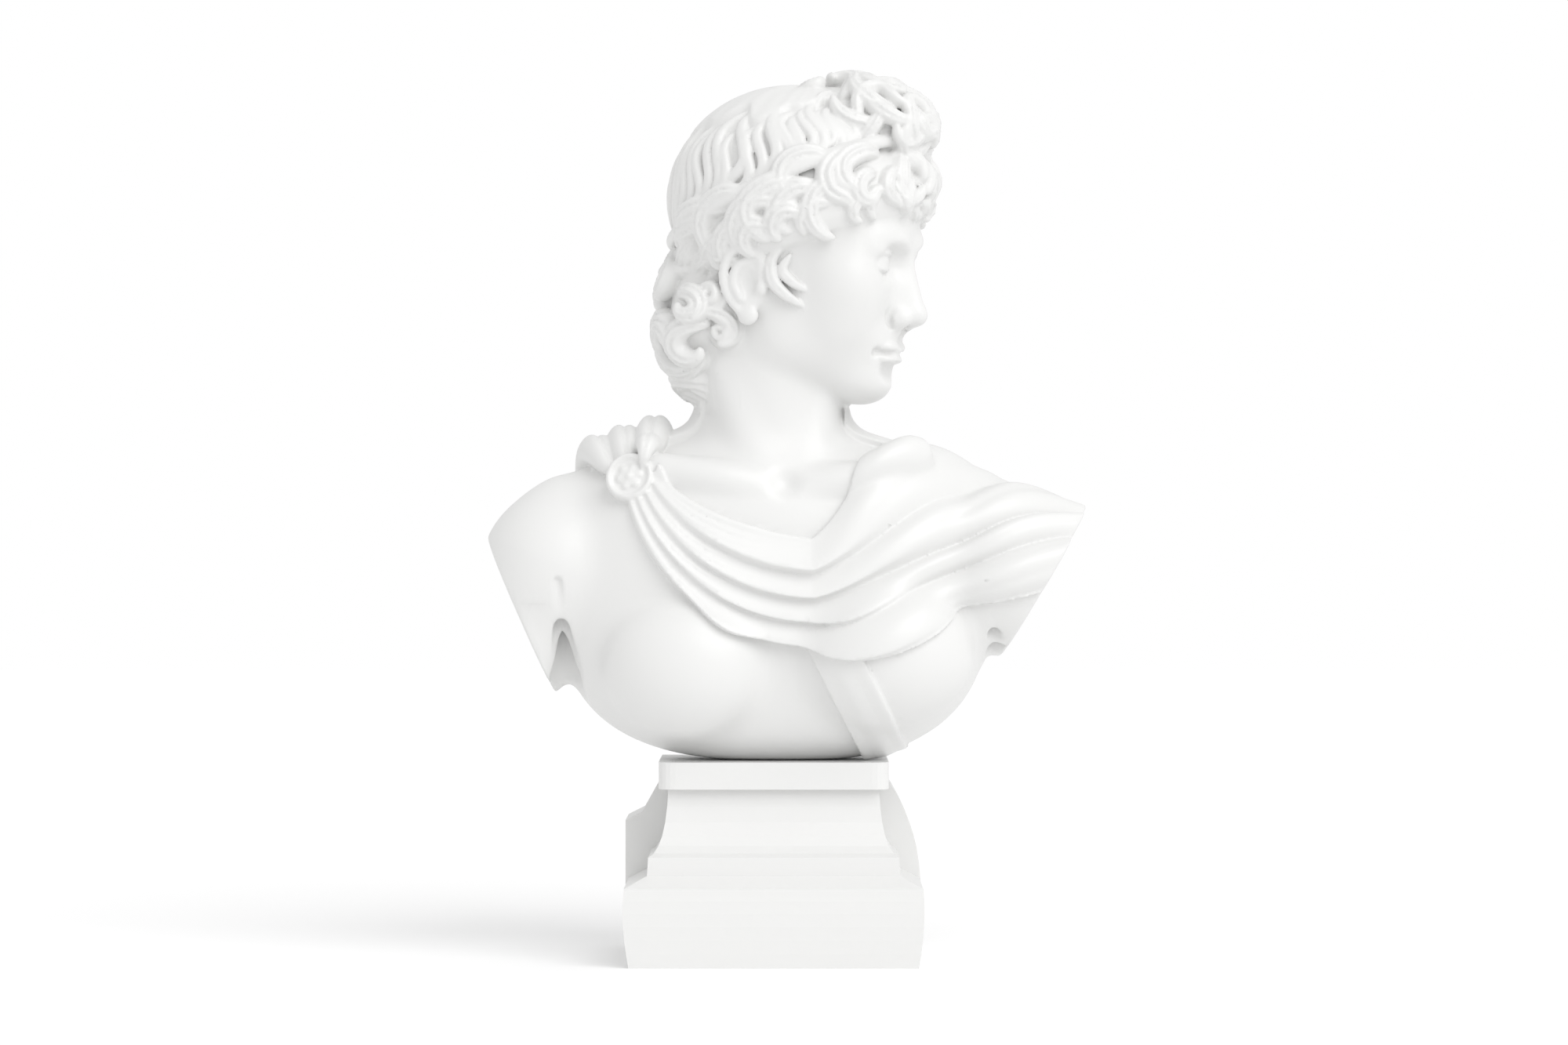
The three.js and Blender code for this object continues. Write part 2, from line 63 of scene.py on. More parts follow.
def newClay(bottom=sculpt["low"], top=sculpt["high"]):
    step = sculpt["step"]
    first = [int(math.floor(low / step)) for low in bottom]
    last = [int(math.ceil(high / step)) for high in top]
    size = [b - a + 1 for a, b in zip(first, last)]
    return {"step": step, "first": np.array(first), "field": np.full(size, sculpt["empty"], np.float32)}


def window(clay, low, high):  # the part of the block between two corners, as slices and coordinates
    step, first = clay["step"], clay["first"]
    spans, coordinates = [], []
    for i in range(3):
        a = max(0, int(math.floor(low[i] / step)) - first[i])
        b = min(clay["field"].shape[i], int(math.ceil(high[i] / step)) - first[i] + 1)
        if b <= a:
            return None, None
        spans.append(slice(a, b))
        shape = [1, 1, 1]
        shape[i] = b - a
        coordinates.append(((np.arange(a, b) + first[i]) * step).astype(np.float32).reshape(shape))
    return tuple(spans), coordinates


def softMin(a, b, blend):
    near = np.maximum(blend - np.abs(a - b), 0)
    return np.minimum(a, b) - near * near / (4 * blend)


def merge(clay, spans, distance, blend, dig):
    here = clay["field"][spans]
    if dig:
        clay["field"][spans] = -softMin(-here, distance, blend)
    else:
        clay["field"][spans] = softMin(here, distance, blend)


def joinClay(clay, part, blend):
    start = part["first"] - clay["first"]
    merge(clay, tuple(slice(a, a + s) for a, s in zip(start, part["field"].shape)), part["field"], blend, False)


def corners(low, high):
    return [Vector((x, y, z)) for x in (low[0], high[0]) for y in (low[1], high[1]) for z in (low[2], high[2])]


def shape(clay, forms, place=None, dig=False):  # adds forms, or presses them in, each with its own fillet
    for form in forms:
        room = form["blend"] + 2
        low = [v - room for v in form["low"]]
        high = [v + room for v in form["high"]]
        if place is not None:
            turned = [place @ corner for corner in corners(low, high)]
            low = [min(p[i] for p in turned) for i in range(3)]
            high = [max(p[i] for p in turned) for i in range(3)]
        spans, (x, y, z) = window(clay, low, high)
        if place is not None:
            back = place.inverted()
            x, y, z = [back[i][0] * x + back[i][1] * y + back[i][2] * z + back[i][3] for i in range(3)]
        merge(clay, spans, form["distance"](x, y, z).astype(np.float32), form["blend"], dig)


def ball(at, size, blend=6):
    def distance(x, y, z):
        dx, dy, dz = x - at[0], y - at[1], z - at[2]
        near = np.sqrt((dx / size[0]) ** 2 + (dy / size[1]) ** 2 + (dz / size[2]) ** 2)
        slope = np.sqrt((dx / size[0] ** 2) ** 2 + (dy / size[1] ** 2) ** 2 + (dz / size[2] ** 2) ** 2)
        near = np.maximum(near, 1e-3)
        return near * (near - 1) / np.maximum(slope, 1e-6)
    return {"distance": distance, "blend": blend,
            "low": [a - s for a, s in zip(at, size)], "high": [a + s for a, s in zip(at, size)]}


def trunk(at, size, squareness, blend):  # a ball with squared shoulders
    def distance(x, y, z):
        dx, dy, dz = x - at[0], y - at[1], z - at[2]
        total = (np.abs(dx / size[0]) ** squareness + np.abs(dy / size[1]) ** squareness
                 + np.abs(dz / size[2]) ** squareness)
        near = np.maximum(total, 1e-6) ** (1 / squareness)
        return np.sqrt(dx * dx + dy * dy + dz * dz) * (1 - 1 / near)
    return {"distance": distance, "blend": blend,
            "low": [a - s for a, s in zip(at, size)], "high": [a + s for a, s in zip(at, size)]}


def limb(start, end, startRadius, endRadius, blend=6):
    along = [b - a for a, b in zip(start, end)]
    length2 = sum(v * v for v in along)
    wide = max(startRadius, endRadius)

    def distance(x, y, z):
        dx, dy, dz = x - start[0], y - start[1], z - start[2]
        t = np.clip((dx * along[0] + dy * along[1] + dz * along[2]) / length2, 0, 1)
        gap = np.sqrt((dx - t * along[0]) ** 2 + (dy - t * along[1]) ** 2 + (dz - t * along[2]) ** 2)
        return gap - (startRadius + (endRadius - startRadius) * t)
    return {"distance": distance, "blend": blend,
            "low": [min(a, b) - wide for a, b in zip(start, end)],
            "high": [max(a, b) + wide for a, b in zip(start, end)]}


def half(point, outwards):  # all that lies beyond a plane
    normal = Vector(outwards).normalized()

    def distance(x, y, z):
        return -((x - point[0]) * normal[0] + (y - point[1]) * normal[1] + (z - point[2]) * normal[2])
    return {"distance": distance, "blend": 0.8, "low": sculpt["low"], "high": sculpt["high"]}


def smoothCurve(points, count):  # a Catmull-Rom curve through the points, evenly in its own parameter
    p = np.array([list(v) for v in points], float)
    p = np.vstack([2 * p[0] - p[1], p, 2 * p[-1] - p[-2]])
    t = np.linspace(0, len(points) - 1 - 1e-6, count)
    i = t.astype(int)
    f = (t - i)[:, None]
    a, b, c, d = p[i], p[i + 1], p[i + 2], p[i + 3]
    return 0.5 * (2 * b + (c - a) * f + (2 * a - 5 * b + 4 * c - d) * f ** 2 + (3 * b - a - 3 * c + d) * f ** 3)


def bead(points, startRadius, endRadius, blend=1.5, steps=10):  # a rounded line of short limbs
    path = smoothCurve(points, steps + 1)
    radii = np.linspace(startRadius, endRadius, steps + 1)
    return [limb(path[i], path[i + 1], radii[i], radii[i + 1], blend) for i in range(steps)]


def bothSides(make):
    return make(-1) + make(1)


# Meshes pressed into the clay: locks of hair and cloth are drawn as grids of points

def tubeFaces(rings, around):
    i, j = np.meshgrid(np.arange(rings - 1), np.arange(around), indexing="ij")
    k = (j + 1) % around
    return np.stack([i * around + j, i * around + k, (i + 1) * around + k, (i + 1) * around + j], -1).reshape(-1, 4)


def addMesh(clay, points, faces, blend=0.8, dig=False, place=None, trim=None):
    points = points.reshape(-1, 3)
    if place is not None:
        turn = np.array(place)
        points = points @ turn[:3, :3].T + turn[:3, 3]
    step = clay["step"]
    band = math.ceil(blend / step) + 2
    grid = openvdb.FloatGrid.createLevelSetFromPolygons(
        points.astype(np.float32), quads=faces.astype(np.uint32),
        transform=openvdb.createLinearTransform(voxelSize=step), halfWidth=band)
    low, high = [np.array(corner) for corner in grid.evalActiveVoxelBoundingBox()]
    low = np.maximum(low, clay["first"])
    high = np.minimum(high, clay["first"] + clay["field"].shape - 1)
    size = high - low + 1
    if min(size) < 1:
        return
    distance = np.zeros(size, np.float32)
    grid.copyToArray(distance, ijk=tuple(int(v) for v in low))
    if trim is not None:  # what the trimming form takes off the mesh first
        axes = np.ogrid[tuple(slice(a, b + 1) for a, b in zip(low, high))]
        distance = np.maximum(distance, -trim["distance"](*[axis * step for axis in axes])).astype(np.float32)
    start = low - clay["first"]
    merge(clay, tuple(slice(a, a + s) for a, s in zip(start, size)), distance, blend, dig)


def unit(v):
    return v / np.maximum(np.linalg.norm(v, axis=-1, keepdims=True), 1e-9)


def lockMesh(path, out, width, height, strands=1, groove=0.3, fullness=0.45, around=36):
    # A sphere drawn out along a path: pointed ends, and grooves along it between its strands
    count = len(path)
    tangent = unit(np.gradient(path, axis=0))
    up = unit(out - (out * tangent).sum(-1, keepdims=True) * tangent)
    aside = np.cross(tangent, up)
    t = np.linspace(0, 1, count)
    full = np.sin(np.pi * np.clip(t, 0.002, 0.998)) ** fullness
    turn = np.linspace(0, 2 * np.pi, around, endpoint=False)
    x, z = np.cos(turn), np.sin(turn)
    ribs = 1 - groove * (1 - np.abs(np.cos(strands * np.pi * x / 2 + (strands % 2 == 0) * np.pi / 2)) ** 0.7)
    ribs = np.where(z > 0, ribs, 1)
    return (path[:, None] + aside[:, None] * (x[None] * full[:, None] * width)[..., None]
            + up[:, None] * (z[None] * ribs[None] * full[:, None] * height)[..., None])


def addLock(clay, path, out, width, height, strands=1, groove=0.3, fullness=0.45, blend=0.7, place=None,
            dig=False):
    points = lockMesh(path, out, width, height, strands, groove, fullness)
    addMesh(clay, points, tubeFaces(points.shape[0], points.shape[1]), blend, dig, place)


# Body: chest, arms cut off above the elbow, and neck

body = {
    "chest": [trunk([0, 1, 130], [76, 35, 57], 2.6, 6)]
    + bothSides(lambda side: [ball([side * 34, 22, 140], [34, 18, 36], 14)])
    + [ball([-30, -20, 109], [31, 25, 27], 5), ball([38, -20, 113], [32, 25, 27], 5),
       limb([-14, 8, 176], [-72, 5, 160], 14, 15, 14), limb([14, 8, 172], [72, 5, 157], 14, 14, 14),
       ball([-1, 8, 164], [34, 30, 24], 16), ball([-76, 3, 142], [26, 26, 26], 10),
       ball([80, 3, 138], [27, 28, 26], 10)],
    "arms": [ball([-76, 3, 142], [26.3, 26.3, 26.3], 2), ball([80, 3, 138], [27.2, 28.2, 26.2], 2),
             limb([-77, 3, 142], [-90, 0, 111], 24, 18, 8), limb([80, 3, 140], [120, 2, 131], 25, 23, 8)],
    "neck": [limb([-1, 9, 164], [0, 4, 232], 27.5, 26, 9), limb([-23, -8, 226], [-2, -17, 170], 3.5, 2.6, 9),
             limb([20, -5, 224], [10, -17, 170], 3.5, 2.6, 9)],
    "collarbones": bead([[10, -22, 170], [30, -24, 174], [52, -16, 177]], 2.6, 3, 7)
    + bead([[0, -22, 170], [-20, -24, 174], [-46, -17, 178]], 2.6, 3, 7),
    "hollows": [limb([1, -52, 150], [2, -53, 76], 5, 8, 9), ball([4, -31, 173], [4, 5, 4], 5)],
}
armpits = {"right": [(-75.5, 138, 1.3), (-74.5, 122, 2.8), (-73, 104, 5.6), (-72, 88, 8)],
           "left": [(76, 126, 1.2), (79, 112, 3.6), (80, 100, 5.5)], "depths": (-38, -31, -24, -17, -10), "fillet": 1.2}


def armpitForms(line):  # a cleft that widens downwards, cut back into the side
    forms = []
    for y in armpits["depths"]:
        for (x0, z0, r0), (x1, z1, r1) in zip(line, line[1:]):
            forms.append(limb([x0, y, z0], [x1, y, z1], r0, r1, armpits["fillet"]))
    return forms


lowerEdge = {"halfWidth": (78, 76), "squareness": (2.6, 3.4), "drop": 56, "level": 130, "blend": 2.5}
armCuts = [([-88, 0, 122], [-0.915, 0, -0.404]), ([96, 0, 138], [0.866, 0, -0.5])]


def belowTheChest():  # what the rounded lower outline, seen from the front, trims away
    drop, level = lowerEdge["drop"], lowerEdge["level"]

    def distance(x, y, z):
        halfWidth, squareness = [np.where(x < 0, *lowerEdge[name]) for name in ("halfWidth", "squareness")]
        down = np.maximum(level - z, 0)
        near = ((np.abs(x) / halfWidth) ** squareness + (down / drop) ** squareness) ** (1 / squareness)
        kept = np.sqrt(x * x + down * down) * (1 - 1 / np.maximum(near, 1e-6))
        return np.where(z > level, 20.0, -kept) + 0 * y
    return {"distance": distance, "blend": lowerEdge["blend"], "low": [-120, -60, 60], "high": [120, 60, level]}


def makeBody(clay):
    shape(clay, body["chest"])
    shape(clay, body["hollows"][:1], dig=True)
    shape(clay, [belowTheChest()], dig=True)
    shape(clay, body["arms"] + body["neck"] + body["collarbones"])
    shape(clay, body["hollows"][1:], dig=True)
    print("body formed", round(time.time() - began, 1))


# Cloth lies on the body: rays leave a level spine between the shoulders

spineHeight = 140


def sample(clay, points):  # the clay's distance at scattered points, between grid points
    at = points / clay["step"] - clay["first"]
    limit = np.array(clay["field"].shape) - 2
    i = np.clip(np.floor(at).astype(int), 0, limit)
    f = np.clip(at - i, 0, 1)
    total = np.zeros(len(points))
    for corner in range(8):
        bit = np.array([corner & 1, corner >> 1 & 1, corner >> 2 & 1])
        weight = np.prod(np.where(bit, f, 1 - f), axis=1)
        j = i + bit
        total += weight * clay["field"][j[:, 0], j[:, 1], j[:, 2]]
    return total


def onBody(clay, x, angle, stand, far=75.0):  # along the spine, at an angle up from the front
    x, angle = np.broadcast_arrays(np.asarray(x, float), np.asarray(angle, float))
    origin = np.stack([x, np.zeros_like(x), np.full_like(x, spineHeight)], -1).reshape(-1, 3)
    direction = np.stack([np.zeros_like(x), -np.cos(angle), np.sin(angle)], -1).reshape(-1, 3)
    reach = np.full(len(origin), far)
    open_ = np.ones(len(origin), bool)
    while open_.any():
        points = origin[open_] + direction[open_] * reach[open_, None]
        still = (sample(clay, points) > 0) & (reach[open_] > 8)
        index = np.where(open_)[0]
        reach[index[still]] -= 1.0
        open_[index[~still]] = False
    inside, outside = reach.copy(), reach + 1.0
    for _ in range(6):
        middle = (inside + outside) / 2
        out = sample(clay, origin + direction * middle[:, None]) > 0
        outside = np.where(out, middle, outside)
        inside = np.where(out, inside, middle)
    lift = inside + np.broadcast_to(stand, x.shape).reshape(-1)
    return (origin + direction * lift[:, None]).reshape(x.shape + (3,))


def angleAt(clay, x, z):  # the angle of the place on the front with this height
    x, z = np.broadcast_arrays(np.asarray(x, float), np.asarray(z, float))
    low, high = np.full(x.shape, math.radians(-85)), np.full(x.shape, math.radians(89))
    for _ in range(12):
        middle = (low + high) / 2
        under = onBody(clay, x, middle, 0)[..., 2] < z
        low = np.where(under, middle, low)
        high = np.where(under, high, middle)
    return (low + high) / 2


def clothMesh(clay, x, angle, stand, sunk):  # a slab with its inner face sunk in the body
    outer, inner = onBody(clay, x, angle, stand), onBody(clay, x, angle, -sunk)
    rows, columns = x.shape
    index = np.arange(rows * columns).reshape(rows, columns)
    under = index + rows * columns

    def strip(a, b, c, d):
        return np.stack([a, b, c, d], -1).reshape(-1, 4)
    faces = [strip(index[:-1, :-1], index[1:, :-1], index[1:, 1:], index[:-1, 1:]),
             strip(under[:-1, :-1], under[:-1, 1:], under[1:, 1:], under[1:, :-1])]
    rim = np.concatenate([index[0, :-1], index[:-1, -1], index[-1, :0:-1], index[:0:-1, 0]])
    follow = np.roll(rim, -1)
    faces.append(strip(rim, follow, follow + rows * columns, rim + rows * columns))
    return np.concatenate([outer.reshape(-1, 3), inner.reshape(-1, 3)]), np.concatenate(faces)


def mix(a, b, t):
    return a + (b - a) * t


def bend(start, pull, end, t):
    return mix(mix(start, pull, t), mix(pull, end, t), t)


mantle = {
    "thickness": 2.0, "fold": 4.4, "folds": 4, "narrowing": 1.3, "sunk": 5, "across": 200, "along": 260,
    # From the neckline to the hem, as the place's x and height on the front
    "pin": [(-40, 178), (-51, 164)], "left": [(-26, 157), (-38, 110)],
    "middle": [(13, 152), (14, 115.5)], "right": [(26, 160), (54, 113)],
}


def frontLine(clay, name, v):  # between the neckline's point and the hem's
    (x0, z0), (x1, z1) = mantle[name]
    angle = angleAt(clay, np.array([x0, x1]), np.array([z0, z1]))
    return mix(x0, x1, v), mix(angle[0], angle[1], v)


def mantleFront(clay, u, v):
    lines = {name: frontLine(clay, name, v) for name in ("pin", "left", "middle", "right")}
    outwards = np.minimum(1, 1.7 * v)
    round_ = np.maximum(0, v - 0.45) / 0.55
    shoulder = (mix(42, 118, outwards), np.radians(98 - 100 * round_ ** 1.5))
    made = []
    for i in range(2):
        left = bend(lines["pin"][i], lines["left"][i], lines["middle"][i], np.minimum(u * 2, 1))
        right = bend(lines["middle"][i], lines["right"][i], shoulder[i], np.maximum(u * 2 - 1, 0))
        made.append(np.where(u < 0.5, left, right))
    return made


def ridge(t, sharpness=0.7):  # round backs with sharp valleys at the halves
    return np.abs(np.cos(np.pi * t)) ** sharpness


def ease(t):
    t = np.clip(t, 0, 1)
    return t * t * (3 - 2 * t)


def overlap(t):  # folds that rise slowly and drop sharply, one lying over the next
    t = np.mod(t, 1)
    return np.where(t < 0.8, 0.1 + 0.9 * ease(t / 0.8 * 0.5 + 0.1) ** 0.8 / ease(0.6) ** 0.8, 1 - 0.9 * ease((t - 0.8) / 0.2))


def foldRelief(u, v):
    drift = 0.10 * np.sin(5 * u + 2) + 0.05 * np.sin(11 * u)
    place = mantle["folds"] * v ** mantle["narrowing"] + drift * np.sin(np.pi * v)
    spread = mix(0.35, 1.1, ease(u * 1.8))
    fan = ease((u - 0.5) / 0.3)
    large = mix(overlap(place), ridge(place - 0.5 + 0.12 * np.sin(9 * v), 0.8), fan)
    fine = ridge(v * 12 + 1.5 * u, 1.0) * np.clip(1.3 - np.abs(u - 0.2) * 6, 0, 1)
    split = ridge(place * 2 + 0.3, 1.0) * ease((u - 0.6) / 0.3)
    return mantle["thickness"] + mantle["fold"] * spread * large + 0.6 * fine + 0.9 * split * large


def makeMantle(clay):
    bare = {"step": clay["step"], "first": clay["first"], "field": clay["field"].copy()}
    u, v = np.meshgrid(np.linspace(0, 1, mantle["across"]), np.linspace(0, 1, mantle["along"]), indexing="ij")
    x, angle = mantleFront(bare, u, v)
    front = clothMesh(bare, x, angle, foldRelief(u, v), mantle["sunk"])
    u, v = np.meshgrid(np.linspace(0, 1, 180), np.linspace(0, 1, 160), indexing="ij")
    sag = 26 * np.sin(np.pi * u) * np.sin(np.pi * v)
    stand = mantle["thickness"] + 0.8 * mantle["fold"] * ridge(v * 4 + 0.1 * np.sin(6 * u)) * np.minimum(1, 5 * v + 0.3)
    back = clothMesh(bare, mix(-64, 118, u), np.radians(mix(84, 238, v) + sag), stand, mantle["sunk"])
    addMesh(clay, *back, blend=1.2, trim=belowTheChest())
    addMesh(clay, *front, blend=0.8)
    makeGathers(clay, bare)
    makeStrap(clay, bare)
    shape(clay, armpitForms(armpits["right"]) + armpitForms(armpits["left"]), dig=True)
    makeBrooch(clay, bare)
    print("mantle draped", round(time.time() - began, 1))


gathers = {"ends": [-68, -55, -41], "width": 6.4, "height": 6.2, "back": 140}


def makeGathers(clay, bare):  # cloth bunched above the brooch, over the shoulder to the back
    for i, end in enumerate(gathers["ends"]):
        start = brooch["x"] + (i - 1) * 4
        low = float(angleAt(bare, start, brooch["z"] + 3))
        t = np.linspace(0, 1, 40)
        path = onBody(bare, mix(start, end, np.sqrt(t)), mix(low, math.radians(gathers["back"]), t),
                      3 + 2 * np.sin(np.pi * t))
        out = unit(path - np.array([0, 0, spineHeight]) - np.array([1, 0, 0]) * path[:, :1])
        addLock(clay, path, out, gathers["width"], gathers["height"], strands=2, groove=0.22, blend=0.8)


strap = {"top": 128, "bottom": 70, "left": (5, 35), "right": (23, 52), "stand": 1.9, "sunk": 4}


def makeStrap(clay, bare):
    u, v = np.meshgrid(np.linspace(0, 1, 50), np.linspace(0, 1, 110), indexing="ij")
    x = mix(mix(*strap["left"], v), mix(*strap["right"], v), u)
    angle = angleAt(bare, x, mix(strap["top"], strap["bottom"], v))
    stand = strap["stand"] - 0.5 * u + 0.35 * ridge(u * 2.0 + 0.1 * np.sin(4 * v), 1.5)
    points, faces = clothMesh(bare, x, angle, stand, strap["sunk"])
    addMesh(clay, points, faces, blend=0.7)


brooch = {"x": -50, "z": 171, "radius": 8.8, "height": 3.6, "facing": (-0.25, -1, 0.35), "petals": 6}


def makeBrooch(clay, bare):  # a disc with a raised rim and a plain rosette
    at = onBody(bare, brooch["x"], angleAt(bare, brooch["x"], brooch["z"]), 3.4).reshape(3)
    turn = Vector((0, 0, 1)).rotation_difference(Vector(brooch["facing"]))
    place = Matrix.Translation(Vector(at)) @ turn.to_matrix().to_4x4()
    radius, height = brooch["radius"], brooch["height"]
    r = np.linspace(0, radius, 40)
    turns = np.linspace(0, 2 * np.pi, 96, endpoint=False)
    rr, tt = np.meshgrid(r, turns, indexing="ij")
    petal = np.abs(np.cos(brooch["petals"] * tt / 2)) ** 0.6
    reach = 5.2 * (0.55 + 0.45 * petal)
    flower = np.clip((reach - rr) * 1.2, 0, 1) * (0.5 + 0.5 * petal)
    rim = np.exp(-((rr - radius + 1.3) / 1.0) ** 2)
    button = np.clip(1 - (rr / 1.7) ** 2, 0, 1)
    z = height * 0.5 + 1.0 * flower + 1.4 * rim + 0.9 * button
    z[-1] = height * 0.2
    top = np.stack([rr * np.cos(tt), rr * np.sin(tt), z], -1)
    foot = np.stack([radius * np.cos(turns), radius * np.sin(turns), np.full_like(turns, -5)], -1)[None]
    base = np.zeros_like(foot) + np.array([0, 0, -5])
    points = np.concatenate([top, foot, base])
    addMesh(clay, points, tubeFaces(points.shape[0], points.shape[1]), 0.5, place=place)


# Head: its own frame has x forward from the face, y to the figure's left, z up

head = {"centre": (11, 0, 248), "turn": 70, "nod": 8}
headPlace = (Matrix.Translation(head["centre"]) @ Matrix.Rotation(math.radians(head["turn"] - 90), 4, "Z")
             @ Matrix.Rotation(math.radians(head["nod"]), 4, "Y"))

face = {
    "skull": [ball([-6, 0, 20], [41, 34, 37]), ball([9, 0, -3], [27, 24.8, 39], 10),
              ball([8, 0, 22], [28.5, 30, 24], 10)],
    "brow": bothSides(lambda side: bead([[35.4, side * 2.5, 12], [34.6, side * 9, 13.9], [30.4, side * 16, 14],
                                         [25.4, side * 20.5, 10.4]], 2.0, 2.4, 6, 6)),
    "nose": [limb([34.8, 0, 12], [43, 0, -8.5], 2.4, 3.0, 4), limb([32.6, 0, 8], [37.4, 0, -11], 4.2, 6.4, 4),
             ball([43.6, 0, -11], [3.9, 3.9, 3.6], 2.5), limb([42.6, 0, -13.2], [38.5, 0, -14.8], 1.5, 1.7, 1.5)]
    + bothSides(lambda side: [ball([39, side * 4.9, -12.6], [4, 2.8, 3.3], 2.2)]),
    "cheeks": bothSides(lambda side: [ball([20, side * 14, -3], [11, 11, 10], 12),
                                      ball([22.5, side * 18.5, -1], [8, 7.5, 6.5], 10),
                                      ball([17, side * 14.5, -15], [13, 9.5, 14], 12)]),
    "mouth": [ball([28.6, 0, -23], [9, 12, 10], 8)],
    "chin": [ball([29, 0, -36], [8, 8.5, 7], 6)]
    + bothSides(lambda side: [limb([22, side * 6, -34], [0, side * 14.5, -25], 7, 8.5, 11),
                              limb([0, side * 14.5, -25], [-9, side * 21.5, 0], 8.5, 9, 14)]),
    "sockets": bothSides(lambda side: [ball([40.4, side * 12.6, 6.2], [9, 8.2, 6.2], 3.5)]),
    "foldsUnderBrow": bothSides(lambda side: [ball([30, side * 17.4, 10.4], [4, 4.2, 2.8], 3)]),
    "lips": bothSides(lambda side: [ball([36.2, side * 3.4, -22.9], [3.2, 5.4, 2.3], 1),
                                    ball([35.8, side * 2.2, -27.5], [3.6, 5.6, 2.6], 1.2)]
                      + bead([[36.9, side * 3.6, -24], [33.6, side * 9.6, -25.3]], 1.7, 0.7, 1.2, 5)
                      + bead([[36.2, side * 3.2, -27], [33.4, side * 9.2, -25.9]], 1.9, 0.7, 1.4, 5))
    + [ball([37.4, 0, -23.9], [2.3, 2.6, 1.7], 1.2)],
    "mouthLine": bothSides(lambda side: bead([[40.4, 0, -25.5], [39.6, side * 3, -25.1], [37, side * 6.6, -25.2],
                                              [33.4, side * 10.2, -25.5]], 0.9, 0.6, 0.8)),
    "creases": bead([[39.6, 0, -16.8], [40, 0, -20.6]], 1.1, 1.3, 1.6, 3)
    + bead([[37.2, -4.5, -31.4], [38.4, 0, -32], [37.2, 4.5, -31.4]], 1.5, 1.5, 4, 4)
    + bothSides(lambda side: [ball([40.8, side * 2.6, -15.6], [2, 1.1, 1.3], 0.8),
                              ball([34.4, side * 10.6, -25.5], [1.5, 1.3, 1.4], 2)]
                + bead([[37.6, side * 8.3, -9.2], [36.2, side * 8.6, -12.6], [37.2, side * 7, -16]], 0.6, 0.5, 1.6, 5)),
}

eye = {"at": (29.2, 12.8, 6), "size": (5.6, 6.8, 5.6), "upper": 3.3, "lower": -2.8}


def lidLine(side, rise, stand):  # a line over the eyeball from corner to corner
    (x, y, z), (length, width, height) = eye["at"], eye["size"]
    points = []
    for degrees in (-76, -50, -22, 8, 38, 76):
        across, up = math.sin(math.radians(degrees)) * 0.98, rise * math.cos(math.radians(degrees)) ** 0.8
        forward = math.sqrt(max(0.05, 1 - across ** 2 - (up / height) ** 2))
        points.append([x + length * forward + stand, side * (y + width * across), z + up + 0.5 * math.cos(math.radians(degrees))])
    return points


def makeEye(clay, side):
    x, y, z = eye["at"]
    shape(clay, [ball([x, side * y, z], eye["size"], 0.6)], headPlace)
    shape(clay, bead(lidLine(side, eye["upper"], 0.2), 1.1, 1.1, 0.6, 14), headPlace)
    shape(clay, bead(lidLine(side, eye["lower"], 0.0), 0.8, 0.8, 0.8, 14), headPlace)


ear = {"base": ([-9, 31, -6.5], [7.6, 4, 11.5]), "bowl": ([-7.4, 36, -8], [3.8, 3.4, 5.8]),
       "rim": [(-4, 32, -4.5), (-4.4, 33.8, 1.5), (-9, 35.8, 5.2), (-14.6, 36.2, 2.6), (-16.8, 35.8, -4.5),
               (-15, 34.8, -11.5), (-10.6, 33.2, -17)],
       "inner": [(-6.6, 34, 1.2), (-11.6, 35.2, -1.4), (-13, 35.2, -7.4), (-10, 34.4, -13)],
       "flap": ([-3, 33, -8.5], [2, 1.7, 2.7]), "lobe": ([-7, 32.4, -18.4], [3.8, 2.2, 3.6])}


def makeEar(clay, side):
    def flip(point):
        return [point[0], side * point[1], point[2]]
    shape(clay, [ball(flip(ear["base"][0]), ear["base"][1], 3)], headPlace)
    shape(clay, bead([flip(p) for p in ear["rim"]], 1.7, 1.4, 1.2, 16), headPlace)
    shape(clay, [ball(flip(ear["bowl"][0]), ear["bowl"][1], 1.5)], headPlace, dig=True)
    shape(clay, bead([flip(p) for p in ear["inner"]], 1.3, 1.3, 1.2), headPlace)
    for name in ("flap", "lobe"):
        shape(clay, [ball(flip(ear[name][0]), ear[name][1], 1.4)], headPlace)


def makeFace(clay):
    for name in ("skull", "brow", "nose", "cheeks", "mouth", "chin"):
        shape(clay, face[name], headPlace)
    shape(clay, face["sockets"], headPlace, dig=True)
    shape(clay, face["foldsUnderBrow"], headPlace)
    makeEye(clay, -1)
    makeEye(clay, 1)
    shape(clay, face["lips"], headPlace)
    shape(clay, face["mouthLine"] + face["creases"], headPlace, dig=True)
    makeEar(clay, -1)
    makeEar(clay, 1)
    print("face and ears formed", round(time.time() - began, 1))


# Hair: a smooth crown, combed waves down to a band, hooked locks under it, and curls

scalp = {"at": np.array([-6.0, 0.0, 22.0]), "size": np.array([44.0, 37.0, 41.0])}
bandPlane = {"level": 30.7, "rise": 0.59}
hairPlane = {"level": 5.5, "rise": 0.51}


def onScalp(azimuth, latitude, stand=0.0):  # azimuth from the face, latitude, height off the scalp
    azimuth, latitude, stand = np.broadcast_arrays(*[np.asarray(v, float) for v in (azimuth, latitude, stand)])
    level = np.cos(latitude)
    p = np.stack([level * np.cos(azimuth), level * np.sin(azimuth), np.sin(latitude)], -1)
    normal = unit(p / scalp["size"])
    return p * scalp["size"] + normal * stand[..., None] + scalp["at"]


